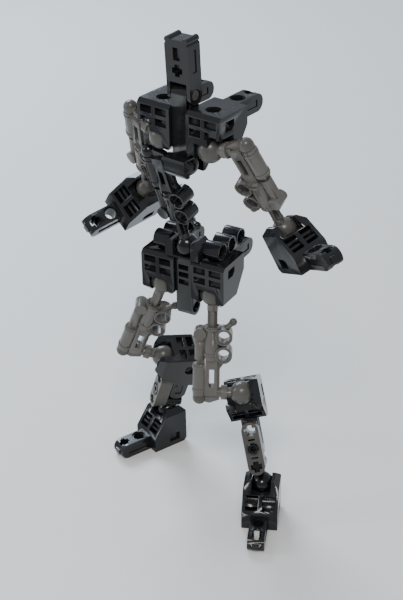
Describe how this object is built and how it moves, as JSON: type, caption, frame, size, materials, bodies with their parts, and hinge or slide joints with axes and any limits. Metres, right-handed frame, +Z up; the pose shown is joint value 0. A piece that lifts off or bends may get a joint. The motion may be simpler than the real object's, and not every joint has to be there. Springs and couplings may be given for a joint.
{
  "type": "humanoid robot kit",
  "caption": "Standing humanoid figure built from a ball-jointed construction kit: socket blocks, double-ball limbs, beams, pins and cross axles.",
  "frame": {"origin": "on the floor at the middle of the figure's bounding box, millimetre kit geometry given in metres", "axes": "+Z up, the figure faces -Y, its own left side is +X"},
  "size_m": [0.1196, 0.065, 0.2166],
  "materials": {
    "black_plastic": "gloss moulded black, lightly scuffed",
    "grey_plastic": "semi-gloss moulded warm dark grey"
  },
  "bodies": {
    "pelvis": {"hip_block_right": "black_plastic", "hip_block_left": "black_plastic", "hip_rail_right": "black_plastic", "hip_rail_left": "black_plastic", "hip_rail_pin_right": "black_plastic", "hip_rail_pin_left": "black_plastic", "waist_socket": "black_plastic"},
    "column": {"waist_ball_axle": "black_plastic", "column_limb": "black_plastic"},
    "chest": {"shoulder_block_right": "black_plastic", "shoulder_block_left": "black_plastic", "chest_socket": "black_plastic", "head_pin": "grey_plastic"},
    "head": {"head_post": "black_plastic"},
    "arm_right": {"upper_arm_right": "grey_plastic", "hand_ball_axle_right": "grey_plastic"},
    "hand_right": {"hand_block_right": "black_plastic"},
    "arm_left": {"upper_arm_left": "grey_plastic", "hand_ball_axle_left": "grey_plastic"},
    "hand_left": {"hand_block_left": "black_plastic"},
    "thigh_right": {"hip_ball_axle_right": "grey_plastic", "thigh_right": "grey_plastic"},
    "shin_right": {"knee_block_right": "black_plastic", "shin_liftarm_right": "grey_plastic", "shin_pin_right": "black_plastic", "ankle_link_right": "black_plastic", "shin_axle_right": "black_plastic"},
    "foot_right": {"foot_block_right": "black_plastic"},
    "thigh_left": {"hip_ball_axle_left": "grey_plastic", "thigh_left": "grey_plastic"},
    "shin_left": {"knee_block_left": "black_plastic", "shin_liftarm_left": "grey_plastic", "shin_pin_left": "black_plastic", "ankle_link_left": "black_plastic", "shin_axle_left": "black_plastic"},
    "foot_left": {"foot_block_left": "black_plastic"}
  },
  "joints": [
    {"name": "waist_bend", "type": "hinge", "parent": "pelvis", "child": "column", "pos_m": [-0.01402, 0.00178, 0.1213], "axis": [1, 0, 0], "range_deg": [-40, 40]},
    {"name": "chest_nod", "type": "hinge", "parent": "column", "child": "chest", "pos_m": [-0.00603, -0.01069, 0.16472], "axis": [0.9891, -0.1221, 0.0824], "range_deg": [-35, 40]},
    {"name": "head_tilt", "type": "hinge", "parent": "chest", "child": "head", "pos_m": [-0.00603, -0.01069, 0.19352], "axis": [0.9903, -0.1392, 0], "range_deg": [-35, 50]},
    {"name": "shoulder_swing_right", "type": "hinge", "parent": "chest", "child": "arm_right", "pos_m": [-0.01792, -0.00902, 0.17312], "axis": [0.9182, -0.234, -0.3197], "range_deg": [-65, 50]},
    {"name": "wrist_bend_right", "type": "hinge", "parent": "arm_right", "child": "hand_right", "pos_m": [-0.03891, 0.01197, 0.13814], "axis": [0.7524, -0.1917, -0.6302], "range_deg": [-26, 45]},
    {"name": "hip_swing_right", "type": "hinge", "parent": "pelvis", "child": "thigh_right", "pos_m": [-0.02602, 0.00178, 0.1011], "axis": [1, 0, 0], "range_deg": [-26, 22]},
    {"name": "knee_bend_right", "type": "hinge", "parent": "thigh_right", "child": "shin_right", "pos_m": [-0.03305, 0.00982, 0.05648], "axis": [0.8053, 0.4928, -0.3295], "range_deg": [-45, 50]},
    {"name": "ankle_bend_right", "type": "hinge", "parent": "shin_right", "child": "foot_right", "pos_m": [-0.04076, 0.02463, 0.0157], "axis": [0.908, -0.4191, 0], "range_deg": [-22, 30]},
    {"name": "shoulder_swing_left", "type": "hinge", "parent": "chest", "child": "arm_left", "pos_m": [0.00585, -0.01236, 0.17312], "axis": [0.9661, -0.1091, 0.234], "range_deg": [-65, 65]},
    {"name": "wrist_bend_left", "type": "hinge", "parent": "arm_left", "child": "hand_left", "pos_m": [0.02977, 0.00418, 0.13764], "axis": [0.4276, 0.8605, 0.277], "range_deg": [-45, 50]},
    {"name": "hip_swing_left", "type": "hinge", "parent": "pelvis", "child": "thigh_left", "pos_m": [-0.00202, 0.00178, 0.1011], "axis": [1, 0, 0], "range_deg": [-40, 45]},
    {"name": "knee_bend_left", "type": "hinge", "parent": "thigh_left", "child": "shin_left", "pos_m": [0.01364, -0.00181, 0.05812], "axis": [0.8939, 0.4481, -0.0143], "range_deg": [-45, 50]},
    {"name": "ankle_bend_left", "type": "hinge", "parent": "shin_left", "child": "foot_left", "pos_m": [0.0253, -0.00425, 0.0157], "axis": [0.9292, 0.3697, 0], "range_deg": [-30, 40]}
  ]
}
